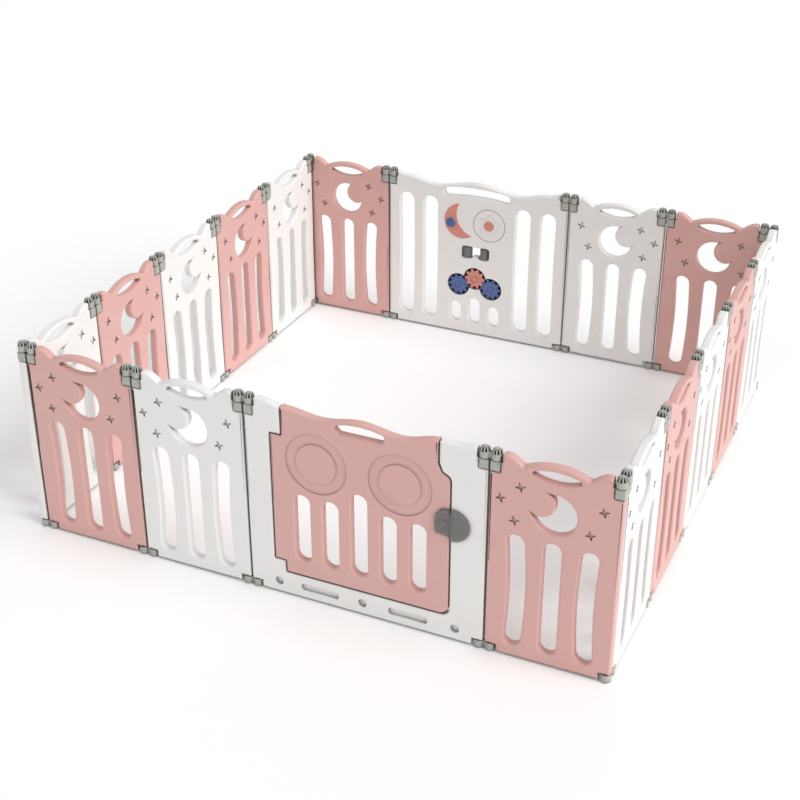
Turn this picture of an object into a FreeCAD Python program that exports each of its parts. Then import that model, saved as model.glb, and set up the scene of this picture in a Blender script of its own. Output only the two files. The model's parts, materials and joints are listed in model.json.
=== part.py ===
import FreeCAD, Part
import math
import os
import re

# Folding baby playpen: a square ring of sixteen narrow panels, one double-width gate and one
# double-width activity panel. Every two neighbours are joined top and bottom by a two-lobed link.
# The origin is the centre of the square on the floor, +Z is up and the gate is on the -Y side.

SIZES = {
    # ring
    "pen_side": 1850,          # between the outer pivots of one side
    "panel_thick": 28,
    "fold_gap": 6,             # left between two panels folded face to face
    "end_gap": 4,              # between the rounded ends of two neighbours in line
    "panel_low": 5,            # panel above the floor
    "panel_top": 645,
    # links and their brackets
    "lobe_radius": 15.5,
    "neck_half": 7,
    "turn_clear": 3,           # lobe to the notch wall of a turning panel
    "foot_tall": 25,
    "link_gap": 1.5,           # link to the faces it turns on
    "link_tall": 20.5,
    "dome_tall": 14.5,
    "dome_radius": 10,
    "bracket_down": 57,        # its lower edge below the panel's top
    "bracket_tall": 30,
    "bracket_deep": 14,        # bracket past the pivot into the panel
    "pin_radius": 6,
    "pin_fit": 0.05,
    "pin_reach": 26,
    # narrow panel
    "post_wide": 38,           # pivot to the first slot
    "slot_wide": 50,
    "slot_low": 38,
    "slot_top_share": 0.636,   # shares are parts of the panel's top height
    "corner_wide": 50,         # level stretch of the top edge from the pivot
    "handle_drop": 55,
    "arch_foot": 84,           # pivot to where the handle arch springs
    "arch_rise": 18,
    "arch_drop": 4,            # top of the arch below the corners
    "arch_band": 17,
    "moon_share": 0.767,
    "moon_radius": 64,
    "bite_radius": 39,
    "bite_along": 41,
    "bite_up": 27,
    # gate
    "gate_gap": 3,
    "gate_post": 64,
    "gate_rail": 80,
    "hinge_along": 82,
    "hinge_round": 18,
    "hinge_low_top": 120,
    "hinge_high_down": 99,
    "latch_post": 88,          # right post, from the frame's last pivot
    "latch_post_top": 124,     # the same post above the curved step
    "door_down": 10,
    "door_slot_wide": 50,
    "door_slot_first": 58,     # first slot from the door's hinge side
    "door_slot_last": 94,      # last slot from its free edge
    "door_slot_low": 133,
    "door_slot_share": 0.558,
    "door_middle_share": 0.633,
    "door_grip_down": 56,
    "door_grip_tall": 30,
    "door_grip_wide": 146,
    "door_grip_shift": 14,     # grip and dips from the door's middle
    "door_dip_along": 122,
    "door_dip_deep": 15,
    "door_dip_radius": 120,
    "hinge_pin_radius": 4,
    "hinge_pin_long": 60,
    # latch
    "latch_share": 0.609,
    "latch_thick": 10,
    "latch_gap": 0.5,
    "latch_hub": 8,
    "latch_inset": 17,         # its axis from the door's free edge
    "latch_reach": 72,
    "latch_half": 50,
    "paddle_behind": 26,       # thumb paddle from the latch's axis
    "paddle_before": 22,
    "paddle_inset": 8,
    # activity panel
    "long_slot_wide": 60,
    "long_slot_low": 46,
    "long_slot_share": 0.873,
    "outer_slot_share": 0.085, # along the panel between its pivots
    "inner_slot_share": 0.228,
    "dip_share": 0.2565,
    "dip_deep": 34,
    "dip_radius": 250,
    "short_slot_wide": 50,
    "short_pitch_share": 0.1133,
    "short_slot_low": 48,
    "short_slot_share": 0.206,
    "middle_slot_rise": 25,
    "grip_down": 67,
    "grip_tall": 38,
    "grip_end_room": 85,       # the grip is this much shorter than the span of the two dips
    "tooth_ring": 37,
    "tooth_deep": 5,
    "tooth_play": 0.2,
    "mesh_gap": 1.1,           # tooth tip to the other wheel's root
    "pit_room": 4.5,
    "gear_thick": 14,
    "gear_share": 0.326,
    "axle_radius": 8,
    "dial_along": 55,
    "dial_share": 0.738,
    "dial_radius": 64,
    "dial_sink": 5,
    "knob_radius": 22,
    "arc_along": 61,
    "arc_share": 0.741,
    "arc_radius": 45,
    "groove_half": 7,
    "groove_deep": 8,
    "bead_radius": 18,
    "roller_radius": 18,
    "roller_along": 35,
    "roller_share": 0.512,
    "roller_tall": 46,
    "window_half": 58,
    "roller_pin": 4,
    "roller_room": 5,
}
TEETH = 10
BEAD_ANGLE = 194               # place of the bead on its arc
GEAR_TILT = 26.7               # the middle wheel above the side ones, seen from a side one

doc = FreeCAD.newDocument("playpen")
sheet = doc.addObject("Spreadsheet::Sheet", "sizes")
for row, (alias, number) in enumerate(SIZES.items(), 1):
    sheet.set("A%d" % row, alias)
    sheet.set("B%d" % row, str(number))
    sheet.setAlias("B%d" % row, alias)
doc.recompute()

# formulas used in many places
PITCH = "(panel_thick + fold_gap)"
NARROW = "(pen_side / 5 - panel_thick - fold_gap)"
WIDE = "(2 * pen_side / 5 - panel_thick - fold_gap)"
CELL = "(pen_side / 5)"
END_RADIUS = "((panel_thick + fold_gap - end_gap) / 2)"
NOTCH = "(lobe_radius + turn_clear)"
FACE = "(panel_thick / 2)"
FOOT_ROOM = "(foot_tall + link_gap)"
BRACKET_LOW = "(panel_top - bracket_down)"
BRACKET_TOP = "(panel_top - bracket_down + bracket_tall)"
LINK_LOW = "(panel_top - bracket_down + bracket_tall + link_gap)"
HINGE_HIGH = "(panel_top - hinge_high_down)"
LATCH_HIGH = "(panel_top * latch_share)"
MOON_HIGH = "(panel_top * moon_share)"
DIAL_HIGH = "(panel_top * dial_share)"
ARC_HIGH = "(panel_top * arc_share)"
ROLLER_LOW = "(panel_top * roller_share)"
GEAR_HIGH = "(panel_top * gear_share)"
GEAR_ROOT = "(tooth_ring - tooth_deep)"
TOOTH_RADIUS = "(tooth_ring * %.6f - tooth_play)" % (math.sin(math.pi / TEETH) / 2)
GEAR_REACH = "(tooth_ring + %s + %s + mesh_gap)" % (TOOTH_RADIUS, GEAR_ROOT)
THROUGH = ("-%s - 5" % FACE, FACE + " + 5")

subparts = {}


def bound(formula):
    """Turn a formula over size names into one over the spreadsheet's aliases."""
    return re.sub(r"[a-z_]{2,}", lambda word: "sizes." + word.group(0), str(formula))


def block(name, x, y, z):
    solid = doc.addObject("Part::Box", name)
    for size, axis, (low, high) in zip(("Length", "Width", "Height"), "xyz", (x, y, z)):
        solid.setExpression(size, bound("(%s) - (%s)" % (high, low)))
        solid.setExpression("Placement.Base." + axis, bound(low))
    return solid


def post(name, x, y, z, radius):
    """Upright cylinder."""
    solid = doc.addObject("Part::Cylinder", name)
    solid.setExpression("Radius", bound(radius))
    solid.setExpression("Height", bound("(%s) - (%s)" % (z[1], z[0])))
    for axis, place in zip("xyz", (x, y, z[0])):
        solid.setExpression("Placement.Base." + axis, bound(place))
    return solid


def barrel(name, x, z, radius, y=THROUGH):
    """Cylinder through the thickness of a panel."""
    solid = doc.addObject("Part::Cylinder", name)
    solid.Placement = FreeCAD.Placement(FreeCAD.Vector(), FreeCAD.Rotation(FreeCAD.Vector(1, 0, 0), -90))
    solid.setExpression("Radius", bound(radius))
    solid.setExpression("Height", bound("(%s) - (%s)" % (y[1], y[0])))
    for axis, place in zip("xyz", (x, y[0], z)):
        solid.setExpression("Placement.Base." + axis, bound(place))
    return solid


def fuse(name, solids):
    if len(solids) == 1:
        return solids[0]
    joined = doc.addObject("Part::MultiFuse", name)
    joined.Shapes = solids
    return joined


def cut(name, base, tools):
    result = doc.addObject("Part::Cut", name)
    result.Base = base
    result.Tool = fuse(name + "_tools", tools)
    return result


def common(name, first, second):
    result = doc.addObject("Part::Common", name)
    result.Base = first
    result.Tool = second
    return result


def group(name, solids):
    result = doc.addObject("Part::Compound", name)
    result.Links = solids
    return result


def upright_slot(name, x, wide, low, high, y=THROUGH):
    """Tool for a slot with round ends, longer than it is wide."""
    half = "(%s) / 2" % wide
    middle = block(name + "_middle", ("%s - %s" % (x, half), "%s + %s" % (x, half)), y,
                   ("(%s) + %s" % (low, half), "(%s) - %s" % (high, half)))
    lower = barrel(name + "_lower", x, "(%s) + %s" % (low, half), half, y)
    upper = barrel(name + "_upper", x, "(%s) - %s" % (high, half), half, y)
    return fuse(name, [middle, lower, upper])


def level_slot(name, x, wide, low, tall):
    """Tool for a grip with round ends, wider than it is tall."""
    half = "(%s) / 2" % tall
    reach = "((%s) / 2 - %s)" % (wide, half)
    middle = block(name + "_middle", ("%s - %s" % (x, reach), "%s + %s" % (x, reach)), THROUGH,
                   (low, "(%s) + (%s)" % (low, tall)))
    ends = [barrel("%s_%s" % (name, side), "%s %s %s" % (x, sign, reach), "(%s) + %s" % (low, half), half)
            for side, sign in (("left", "-"), ("right", "+"))]
    return fuse(name, [middle] + ends)


def place(solid, label, wall, along):
    """Stand a finished piece on its wall: walls 0 to 3 are the front, right, back and left ones."""
    copy = doc.addObject("Part::Compound", label)
    copy.Label = label
    copy.Links = [solid]
    turn = FreeCAD.Rotation(FreeCAD.Vector(0, 0, 1), 90 * wall)
    copy.Placement = FreeCAD.Placement(FreeCAD.Vector(), turn)
    far = "(pen_side / 2)"
    near = "(-pen_side / 2)"
    x = (near + " + " + along, far, far + " - (" + along + ")", near)[wall]
    y = (near, near + " + " + along, far, far + " - (" + along + ")")[wall]
    copy.setExpression("Placement.Base.x", bound(x))
    copy.setExpression("Placement.Base.y", bound(y))
    subparts[label] = copy


def panel_blank(name, long):
    """Slab with its two ends rounded about the pivots, notched for the links and brackets."""
    z = ("panel_low", "panel_top")
    y = ("-" + FACE, FACE)
    slab = block(name + "_slab", ("-" + END_RADIUS, long + " + " + END_RADIUS), y, z)
    middle = block(name + "_core", ("0", long), ("-" + END_RADIUS, END_RADIUS), z)
    ends = [post("%s_end_%d" % (name, i), x, "0", z, END_RADIUS) for i, x in enumerate(("0", long))]
    blank = common(name + "_blank", slab, fuse(name + "_plan", [middle] + ends))
    tools = []
    for side, (pivot, sign) in enumerate((("0", 1), (long, -1))):
        reach = ("%s - 2 * lobe_radius" % pivot, "%s + %s" % (pivot, NOTCH))
        seat = ("%s - 2 * lobe_radius" % pivot, "%s + bracket_deep" % pivot)
        if sign < 0:
            reach = ("%s - %s" % (pivot, NOTCH), "%s + 2 * lobe_radius" % pivot)
            seat = ("%s - bracket_deep" % pivot, "%s + 2 * lobe_radius" % pivot)
        tools.append(block("%s_foot_notch_%d" % (name, side), reach, THROUGH, ("0", FOOT_ROOM)))
        tools.append(block("%s_top_notch_%d" % (name, side), reach, THROUGH, (BRACKET_TOP, "panel_top + 1")))
        tools.append(block("%s_seat_%d" % (name, side), seat, THROUGH, (BRACKET_LOW, "panel_top + 1")))
        tools.append(post("%s_foot_hole_%d" % (name, side), pivot, "0",
                          ("foot_tall", "foot_tall + pin_reach + link_gap"), "pin_radius + pin_fit"))
    return blank, tools


def brackets(name, long):
    """The two top corner brackets of a panel, each bored for the link's pin."""
    pair = []
    z = (BRACKET_LOW, BRACKET_TOP)
    for side, pivot in enumerate(("0", long)):
        label = "%s_%d" % (name, side)
        inner = ("0", "bracket_deep")
        beyond = ("bracket_deep", "bracket_deep + 20")
        if side == 1:
            inner = ("%s - bracket_deep" % pivot, pivot)
            beyond = ("%s - bracket_deep - 20" % pivot, "%s - bracket_deep" % pivot)
        body = block(label + "_body", inner, ("-" + FACE, FACE), z)
        around = ("%s - 20" % pivot, "%s + 20" % pivot)
        nose = common(label + "_nose", post(label + "_round", pivot, "0", z, END_RADIUS),
                      block(label + "_flat", around, ("-" + FACE, FACE), z))
        spare = block(label + "_spare", beyond, THROUGH, z)
        bore = post(label + "_bore", pivot, "0", z, "pin_radius + pin_fit")
        pair.append(cut(label, fuse(label + "_join", [body, nose]), [spare, bore]))
    return pair


def link(name, pinned=(True, True)):
    """Top link with its ribbed caps and foot link, each two lobes and a neck, with pins for the panels."""
    pivots = ("0", PITCH)
    top = (LINK_LOW, LINK_LOW + " + link_tall")
    foot = ("0", "foot_tall")
    pieces = []
    for kind, z in (("top", top), ("foot", foot)):
        solids = [block("%s_%s_neck" % (name, kind), ("0", PITCH), ("-neck_half", "neck_half"), z)]
        for side, pivot in enumerate(pivots):
            solids.append(post("%s_%s_lobe_%d" % (name, kind, side), pivot, "0", z, "lobe_radius"))
            if kind == "top":
                dome = doc.addObject("Part::Cone", "%s_dome_%d" % (name, side))
                dome.setExpression("Radius1", bound("lobe_radius"))
                dome.setExpression("Radius2", bound("dome_radius"))
                dome.setExpression("Height", bound("dome_tall"))
                dome.setExpression("Placement.Base.x", bound(pivot))
                dome.setExpression("Placement.Base.z", bound(top[1]))
                solids.append(dome)
            if pinned[side]:
                reach = ("%s - pin_reach" % LINK_LOW, LINK_LOW) if kind == "top" else \
                        ("foot_tall", "foot_tall + pin_reach")
                solids.append(post("%s_%s_pin_%d" % (name, kind, side), pivot, "0", reach, "pin_radius"))
        pieces.append(fuse("%s_%s" % (name, kind), solids))
    return pieces


def narrow_panel():
    """Hollow-look grille panel: three slots, a moon window and a carrying arch over a lens-shaped gap."""
    blank, tools = panel_blank("narrow", NARROW)
    centre = "%s / 2" % NARROW
    for i, sign in enumerate((-1, 0, 1)):
        x = "%s + %d * (%s - post_wide - slot_wide / 2)" % (centre, sign, centre)
        tools.append(upright_slot("narrow_slot_%d" % i, x, "slot_wide", "slot_low",
                                  "panel_top * slot_top_share"))
    moon = barrel("narrow_moon_disc", centre, MOON_HIGH, "moon_radius")
    bite = barrel("narrow_moon_bite", centre + " - bite_along", MOON_HIGH + " + bite_up", "bite_radius")
    tools.append(cut("narrow_moon", moon, [bite]))
    half = "(%s - corner_wide)" % centre
    dip = "((%s * %s + handle_drop * handle_drop) / (2 * handle_drop))" % (half, half)
    valley = barrel("narrow_valley", centre, "panel_top - handle_drop + " + dip, dip)
    chord = "(%s - arch_foot)" % centre
    bow = "((%s * %s + arch_rise * arch_rise) / (2 * arch_rise))" % (chord, chord)
    heart = "panel_top - arch_drop - " + bow
    arch = cut("narrow_arch", barrel("narrow_arch_outer", centre, heart, bow),
               [barrel("narrow_arch_inner", centre, heart, bow + " - arch_band",
                       ("-" + FACE + " - 6", FACE + " + 6"))])
    tools.append(cut("narrow_handle", valley, [arch]))
    return cut("narrow_panel", blank, tools)


def gate_frame():
    """U-shaped frame round the door: hinge post, bottom rail and latch post."""
    blank, tools = panel_blank("gate", WIDE)
    right = WIDE + " - latch_post"
    upper_right = WIDE + " - latch_post_top"
    tools.append(block("gate_space", ("gate_post", right), THROUGH, ("hinge_low_top", HINGE_HIGH)))
    tools.append(block("gate_space_low", ("hinge_along", right), THROUGH, ("gate_rail", "hinge_low_top")))
    upper = (HINGE_HIGH, "panel_top + 1")
    tools.append(block("gate_space_high", ("hinge_along", upper_right), THROUGH, upper))
    opened = cut("gate_opened", blank, tools)
    knuckles = []
    for kind, z in (("low", ("gate_rail - 1", "hinge_low_top")), ("high", (HINGE_HIGH, "panel_top"))):
        knuckles.append(common("gate_knuckle_" + kind,
                               post("gate_knuckle_round_" + kind, "hinge_along", "0", z, "hinge_round"),
                               block("gate_knuckle_flat_" + kind, ("hinge_along - 1", "hinge_along + 30"),
                                     ("-" + FACE, FACE), z)))
    joined = fuse("gate_joined", [opened] + knuckles)
    low, high = hinge_pin_places()
    ends = ((low[0], "hinge_low_top + 1"), (HINGE_HIGH + " - 1", high[1]))
    holes = [post("gate_hinge_hole_%d" % i, "hinge_along", "0", end, "hinge_pin_radius")
             for i, end in enumerate(ends)]
    return cut("gate_frame_solid", joined, holes)


def hinge_pin_places():
    """Low and high ends of the two hinge pins, each half in a knuckle and half in the door."""
    return [("%s - hinge_pin_long / 2" % middle, "%s + hinge_pin_long / 2" % middle)
            for middle in ("hinge_low_top", HINGE_HIGH)]


def gate_pins():
    """Two steel pins fixed in the frame's knuckles, on which the door turns."""
    return [post("gate_pin_%d" % i, "hinge_along", "0", ends, "hinge_pin_radius")
            for i, ends in enumerate(hinge_pin_places())]


def gate_door():
    """Grille door between the posts, stepped round the two knuckles."""
    y = ("-" + FACE, FACE)
    free = "(%s - latch_post - gate_gap)" % WIDE
    free_top = "(%s - latch_post_top - gate_gap)" % WIDE
    inner = "(hinge_along + hinge_round + gate_gap)"
    edge = "(hinge_along - gate_post - gate_gap)"
    low = "(hinge_low_top + gate_gap)"
    high = "(%s - gate_gap)" % HINGE_HIGH
    crest = "(panel_top - door_down)"
    main = block("door_main", ("hinge_along", free), y, (low, high))
    stile = common("door_stile", post("door_stile_round", "hinge_along", "0", (low, high), edge),
                   block("door_stile_flat", ("hinge_along - 30", "hinge_along + 1"), y, (low, high)))
    bottom = block("door_bottom", (inner, free), y, ("gate_rail + gate_gap", low))
    top = block("door_top_piece", (inner, free_top), y, (high, crest))
    solid = fuse("door_solid", [main, stile, bottom, top])
    tools = []
    first = "(%s + door_slot_first)" % inner
    last = "(%s - door_slot_last)" % free
    for i in range(5):
        crown = "panel_top * " + ("door_middle_share" if i == 2 else "door_slot_share")
        x = "(%s + (%s - %s) * %d / 4)" % (first, last, first, i)
        tools.append(upright_slot("door_slot_%d" % i, x, "door_slot_wide", "door_slot_low", crown))
    middle = "((%s + %s) / 2 - door_grip_shift)" % (inner, free)
    tools.append(level_slot("door_grip", middle, "door_grip_wide", "panel_top - door_grip_down",
                            "door_grip_tall"))
    for i, sign in enumerate((-1, 1)):
        tools.append(barrel("door_dip_%d" % i, "%s + %d * door_dip_along" % (middle, sign),
                            crest + " - door_dip_deep + door_dip_radius", "door_dip_radius"))
    low_pin, high_pin = hinge_pin_places()
    fit = "hinge_pin_radius + pin_fit"
    tools.append(post("door_hole_low", "hinge_along", "0", (low + " - 1", low_pin[1] + " + 1"), fit))
    tools.append(post("door_hole_high", "hinge_along", "0", (high_pin[0] + " - 1", high + " + 1"), fit))
    tools.append(barrel("door_latch_hole", free + " - latch_inset", LATCH_HIGH, "latch_hub + pin_fit"))
    return cut("gate_door_solid", solid, tools)


def gate_latch():
    """Turn latch on the outer face: a thumb paddle on the door and a round tongue over the post."""
    x = "(%s - latch_post - gate_gap - latch_inset)" % WIDE
    outer = "-%s - latch_gap - latch_thick" % FACE
    near = "-%s - latch_gap" % FACE
    low = LATCH_HIGH + " - latch_half"
    high = LATCH_HIGH + " + latch_half"
    heart = x + " + latch_reach - latch_half"
    tongue = common("latch_tongue", barrel("latch_round", heart, LATCH_HIGH, "latch_half", (outer, near)),
                    block("latch_right", (x, x + " + latch_reach"), (outer, near), (low, high)))
    paddle = block("latch_paddle", (x + " - paddle_behind", x + " + paddle_before"), (outer, near),
                   (low + " + paddle_inset", high + " - paddle_inset"))
    hub = barrel("latch_hub_pin", x, LATCH_HIGH, "latch_hub", (near + " - 1", FACE + " - 4"))
    return fuse("gate_latch_solid", [tongue, paddle, hub])


def gear(name, x, z, phase):
    """Soft-toothed toy wheel on an axle stub."""
    y = (FACE + " - gear_thick", FACE)
    solids = [barrel(name + "_root", x, z, GEAR_ROOT, y)]
    for i in range(TEETH):
        angle = math.radians(phase + 360 / TEETH * i)
        tooth_x = "%s + %.6f * tooth_ring" % (x, math.cos(angle))
        tooth_z = "%s + %.6f * tooth_ring" % (z, math.sin(angle))
        solids.append(barrel("%s_tooth_%d" % (name, i), tooth_x, tooth_z, TOOTH_RADIUS, y))
    bore = barrel(name + "_bore", x, z, "axle_radius + pin_fit")
    return cut(name, fuse(name + "_star", solids), [bore])


def arc_place(angle):
    """A point of the bead's arc, as formulas along the panel and up."""
    turn = math.radians(angle)
    centre = "(%s / 2)" % WIDE
    return ("(%s + arc_along - %.6f * arc_radius)" % (centre, math.cos(turn)),
            "(%s + %.6f * arc_radius)" % (ARC_HIGH, math.sin(turn)))


def activity_panel():
    """Double-width panel with toys on its inner face."""
    blank, tools = panel_blank("activity", WIDE)
    centre = "(%s / 2)" % WIDE
    for i, sign in enumerate((-1, 1)):
        for kind in ("outer", "inner"):
            x = "%s + %d * (%s - %s * %s_slot_share)" % (centre, sign, centre, WIDE, kind)
            tools.append(upright_slot("activity_%s_%d" % (kind, i), x, "long_slot_wide",
                                      "long_slot_low", "panel_top * long_slot_share"))
        dip_x = "%s + %d * (%s - %s * dip_share)" % (centre, sign, centre, WIDE)
        tools.append(barrel("activity_dip_%d" % i, dip_x, "panel_top - dip_deep + dip_radius", "dip_radius"))
    for i in (-1, 0, 1):
        crown = "panel_top * short_slot_share"
        if i == 0:
            crown += " + middle_slot_rise"
        x = "%s + %d * %s * short_pitch_share" % (centre, i, WIDE)
        tools.append(upright_slot("activity_short_%d" % (i + 1), x, "short_slot_wide",
                                  "short_slot_low", crown))
    span = "(%s - 2 * %s * dip_share)" % (WIDE, WIDE)
    tools.append(level_slot("activity_grip", centre, span + " - grip_end_room", "panel_top - grip_down",
                            "grip_tall"))
    floor = FACE + " - gear_thick - 1.5"
    pits = []
    for name, x, z in gear_places():
        room = "tooth_ring + %s + pit_room" % TOOTH_RADIUS
        pits.append(barrel("pit_" + name, x, z, room, (floor, THROUGH[1])))
    stubs = [barrel("stub_" + name, x, z, "axle_radius", (floor, FACE + " - 1"))
             for name, x, z in gear_places()]
    tools.append(cut("activity_pits", fuse("activity_pit_join", pits), stubs))
    dial_x = centre + " - dial_along"
    sunk = (FACE + " - dial_sink", THROUGH[1])
    tools.append(barrel("dial_recess", dial_x, DIAL_HIGH, "dial_radius + 2", sunk))
    tools.append(barrel("dial_hole", dial_x, DIAL_HIGH, "pin_radius + pin_fit", ("0", THROUGH[1])))
    ring_y = (FACE + " - groove_deep", THROUGH[1])
    arc_x = centre + " + arc_along"
    ring = cut("groove_ring", barrel("groove_outer", arc_x, ARC_HIGH, "arc_radius + groove_half", ring_y),
               [barrel("groove_inner", arc_x, ARC_HIGH, "arc_radius - groove_half")])
    side = block("groove_side", (arc_x, arc_x + " + 2 * arc_radius"), ring_y,
                 (ARC_HIGH + " - 2 * arc_radius", ARC_HIGH + " + 2 * arc_radius"))
    tools.append(common("groove", ring, side))
    roller_top = ROLLER_LOW + " + roller_tall"
    tools.append(block("roller_window", (centre + " - window_half", centre + " + window_half"), THROUGH,
                       (ROLLER_LOW, roller_top)))
    for i, sign in enumerate((-1, 1)):
        tools.append(post("roller_hole_%d" % i, "%s + %d * roller_along" % (centre, sign), "0",
                          (ROLLER_LOW + " - roller_room - 1", roller_top + " + roller_room + 1"),
                          "roller_pin + pin_fit"))
    return cut("activity_solid", blank, tools)


def gear_places():
    centre = "(%s / 2)" % WIDE
    tilt = math.radians(GEAR_TILT)
    spread = "%s * %.6f" % (GEAR_REACH, math.cos(tilt))
    rise = "%s * %.6f" % (GEAR_REACH, math.sin(tilt))
    return (("middle_gear", centre, "(%s + %s)" % (GEAR_HIGH, rise)),
            ("left_gear", "(%s + %s)" % (centre, spread), GEAR_HIGH),
            ("right_gear", "(%s - %s)" % (centre, spread), GEAR_HIGH))


def meshed_phase(toward):
    """Tooth phase of a wheel that lies at this angle from the middle wheel and meshes with it."""
    step = 360 / TEETH
    return toward + 180 - (-toward) % step + step / 2


def dial():
    x = "(%s / 2 - dial_along)" % WIDE
    disc = barrel("dial_disc", x, DIAL_HIGH, "dial_radius", (FACE + " - dial_sink + 0.5", FACE + " + 1"))
    knob = barrel("dial_knob", x, DIAL_HIGH, "knob_radius", (FACE + " + 1", FACE + " + 5"))
    shaft = barrel("dial_shaft", x, DIAL_HIGH, "pin_radius", ("1", FACE + " - dial_sink + 1"))
    return fuse("dial_solid", [disc, knob, shaft])


def bead():
    """Sliding bead: a domed button with a foot in the curved groove."""
    x, z = arc_place(BEAD_ANGLE)
    button = barrel("bead_button", x, z, "bead_radius", (FACE + " + 0.5", FACE + " + 5"))
    foot = barrel("bead_foot", x, z, "groove_half - 0.5", (FACE + " - groove_deep + 0.5", FACE + " + 1"))
    return fuse("bead_solid", [button, foot])


def roller(name, sign):
    x = "%s / 2 + %d * roller_along" % (WIDE, sign)
    top = ROLLER_LOW + " + roller_tall"
    drum = post(name + "_drum", x, "0", (ROLLER_LOW + " + 1", top + " - 1"), "roller_radius")
    pin = post(name + "_pin", x, "0", (ROLLER_LOW + " - roller_room", top + " + roller_room"), "roller_pin")
    return fuse(name, [drum, pin])


# narrow panels with their brackets: wall number, cell along the wall, name
NARROW_CELLS = [("front", 0, cell, number) for number, cell in ((1, 0), (2, 1), (3, 4))]
NARROW_CELLS += [("right", 1, cell, cell + 1) for cell in range(5)]
NARROW_CELLS += [("back", 2, cell, number) for number, cell in ((1, 0), (2, 1), (3, 4))]
NARROW_CELLS += [("left", 3, cell, cell + 1) for cell in range(5)]
panel_master = narrow_panel()
bracket_master = group("narrow_brackets", brackets("narrow_bracket", NARROW))
for side, wall, cell, number in NARROW_CELLS:
    along = "%d * %s + %s" % (cell, CELL, PITCH)
    place(panel_master, "%s_panel_%d" % (side, number), wall, along)
    place(bracket_master, "%s_panel_%d_brackets" % (side, number), wall, along)

# links between neighbours; the two beside the gate and the one that opens the ring come below
link_master = group("link_pair", link("link"))
for side, wall, cell, number in NARROW_CELLS:
    if (side, number) in (("front", 3), ("back", 3)):
        continue
    place(link_master, "%s_link_%d" % (side, number), wall, "%d * %s" % (cell, CELL))
place(link_master, "back_link_activity", 2, "2 * " + CELL)


def shifted(name, solids, along):
    """The same solids moved along the panel."""
    moved = group(name, solids)
    moved.setExpression("Placement.Base.x", bound(along))
    return moved


# gate: origin at its first pivot, two cells wide
gate_along = "2 * %s + %s" % (CELL, PITCH)
place(gate_frame(), "gate_frame", 0, gate_along)
gate_fittings = brackets("gate_bracket", WIDE) + gate_pins()
gate_fittings.append(shifted("gate_link_left", link("gate_left"), "-" + PITCH))
gate_fittings.append(shifted("gate_link_right", link("gate_right"), WIDE))
place(group("gate_fittings_group", gate_fittings), "gate_fittings", 0, gate_along)
place(gate_door(), "gate_door", 0, gate_along)
place(gate_latch(), "gate_latch", 0, gate_along)

# activity panel; its far link has no pins at the pivot where the ring opens
place(activity_panel(), "activity_panel", 2, gate_along)
release = shifted("release_link", link("release", (True, False)), WIDE)
place(group("activity_fittings_group", brackets("activity_bracket", WIDE) + [release]),
      "activity_fittings", 2, gate_along)
phases = {"middle_gear": 0,
          "left_gear": meshed_phase(-GEAR_TILT),
          "right_gear": meshed_phase(180 + GEAR_TILT)}
for name, x, z in gear_places():
    place(gear(name + "_wheel", x, z, phases[name]), name, 2, gate_along)
place(dial(), "activity_dial", 2, gate_along)
place(bead(), "slide_bead", 2, gate_along)
place(roller("left_roller_solid", 1), "left_roller", 2, gate_along)
place(roller("right_roller_solid", -1), "right_roller", 2, gate_along)

doc.recompute()

problems = [thing.Name for thing in doc.Objects if "Invalid" in thing.State or "Error" in thing.State]
for label, thing in subparts.items():
    if thing.Shape.isNull() or not thing.Shape.isValid():
        problems.append(label)
if problems:
    raise SystemExit("failed: " + ", ".join(problems))

os.makedirs("parts", exist_ok=True)
for label, thing in subparts.items():
    thing.Shape.exportStep("parts/%s.step" % label)
    print(label, len(thing.Shape.Solids), "solids", round(thing.Shape.Volume / 1000), "cm3")
print(len(subparts), "sub-parts")
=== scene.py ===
import json
import math
import bmesh
import bpy
from mathutils import Matrix, Vector


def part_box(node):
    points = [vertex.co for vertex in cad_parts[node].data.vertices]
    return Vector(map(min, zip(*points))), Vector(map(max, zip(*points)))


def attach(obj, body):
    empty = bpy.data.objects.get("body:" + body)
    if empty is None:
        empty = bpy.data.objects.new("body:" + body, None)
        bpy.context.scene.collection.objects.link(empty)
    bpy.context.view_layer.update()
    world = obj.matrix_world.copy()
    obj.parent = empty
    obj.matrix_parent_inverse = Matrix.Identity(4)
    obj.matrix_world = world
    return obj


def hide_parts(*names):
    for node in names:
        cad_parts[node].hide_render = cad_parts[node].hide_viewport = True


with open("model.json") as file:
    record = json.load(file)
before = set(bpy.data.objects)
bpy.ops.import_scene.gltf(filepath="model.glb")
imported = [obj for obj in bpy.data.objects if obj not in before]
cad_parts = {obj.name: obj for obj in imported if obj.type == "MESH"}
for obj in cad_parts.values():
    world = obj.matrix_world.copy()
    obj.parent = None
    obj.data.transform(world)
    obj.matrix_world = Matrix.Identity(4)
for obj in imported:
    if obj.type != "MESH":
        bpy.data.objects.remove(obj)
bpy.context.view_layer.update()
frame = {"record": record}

# A folding playpen of blow-moulded sections. Outlines are in millimetres from a section's middle,
# x along the wall and z up from the floor; the wall turns them to where the frame has that section.

headings = {"front": 0, "gate": 0, "right": 90, "back": 180, "activity": 180, "left": 270}
bodyOf = {node: body for body, nodes in frame["record"]["behaviour"]["bodies"].items() for node in nodes}


def middleOf(node):
    low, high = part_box(node)
    return (Vector(low) + Vector(high)) / 2


def wallMatrix(centre, heading):
    return Matrix.Translation((centre.x, centre.y, 0)) @ Matrix.Rotation(math.radians(heading), 4, "Z")


def arcPoints(x, z, radius, start, end, count=24):
    turns = [math.radians(start + (end - start) * i / count) for i in range(count + 1)]
    return [(x + radius * math.cos(turn), z + radius * math.sin(turn)) for turn in turns]


def circle(x, z, radius, count=64):
    return arcPoints(x, z, radius, 0, 360, count)[:-1]


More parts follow.
